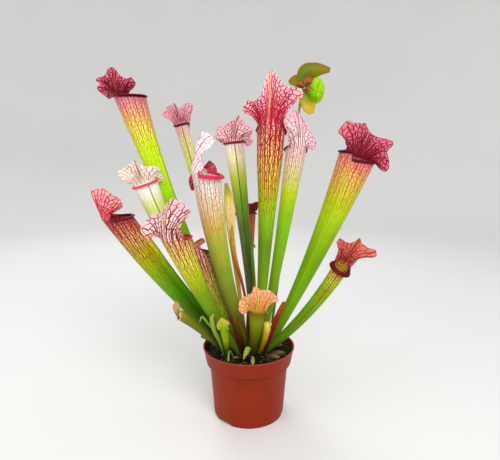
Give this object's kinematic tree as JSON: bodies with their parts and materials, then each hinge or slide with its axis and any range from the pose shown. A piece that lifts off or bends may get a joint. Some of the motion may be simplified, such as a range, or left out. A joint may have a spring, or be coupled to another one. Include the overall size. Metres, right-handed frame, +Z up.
{
  "type": "potted trumpet pitcher plant",
  "caption": "Trumpet pitcher plant in a round nursery pot: hollow netted pitcher leaves with waved hoods, young leaves and a nodding flower.",
  "frame": {"origin": "middle of the pot's underside, on the surface that the pot stands on", "axes": "+Z up along the pot's axis, +X to the right as the picture shows the plant, -Y towards the viewer"},
  "size_m": [0.3818, 0.2316, 0.4659],
  "materials": {
    "pot_plastic": "matte moulded terracotta-coloured plastic",
    "soil": "moist dark peat",
    "crimson_net": "smooth leaf with a crimson net of veins",
    "pink_net": "smooth leaf with a pink net of veins",
    "white_net": "smooth cream leaf with fine red veins",
    "young_leaf": "smooth green leaf",
    "yellow_leaf": "smooth yellow leaf",
    "withered_leaf": "dry dark red leaf",
    "flower": "smooth waxy green flower"
  },
  "bodies": {
    "root": {"flower": "flower", "flower_stalk": "young_leaf", "leaf_amber": "yellow_leaf", "leaf_bud_left": "young_leaf", "leaf_closed": "yellow_leaf", "leaf_curled_front": "young_leaf", "leaf_cut": "young_leaf", "leaf_drooping": "young_leaf", "leaf_hooked_back": "young_leaf", "leaf_hooked_left": "young_leaf", "leaf_lying_front": "young_leaf", "leaf_olive": "young_leaf", "leaf_withered_left": "withered_leaf", "leaf_withered_right": "withered_leaf", "pitcher_big_right": "crimson_net", "pitcher_centre": "pink_net", "pitcher_cream": "white_net", "pitcher_far_left": "pink_net", "pitcher_front_left": "pink_net", "pitcher_front_small": "yellow_leaf", "pitcher_hidden": "crimson_net", "pitcher_low_back": "crimson_net", "pitcher_low_left": "crimson_net", "pitcher_low_right": "crimson_net", "pitcher_right": "pink_net", "pitcher_small_back": "crimson_net", "pitcher_tall_left": "crimson_net", "pitcher_tall_right": "crimson_net", "pitcher_white": "white_net", "pitcher_young_left": "young_leaf", "pitcher_young_low": "young_leaf", "pitcher_young_right": "young_leaf", "pot": "pot_plastic", "soil": "soil"}
  },
  "joints": []
}
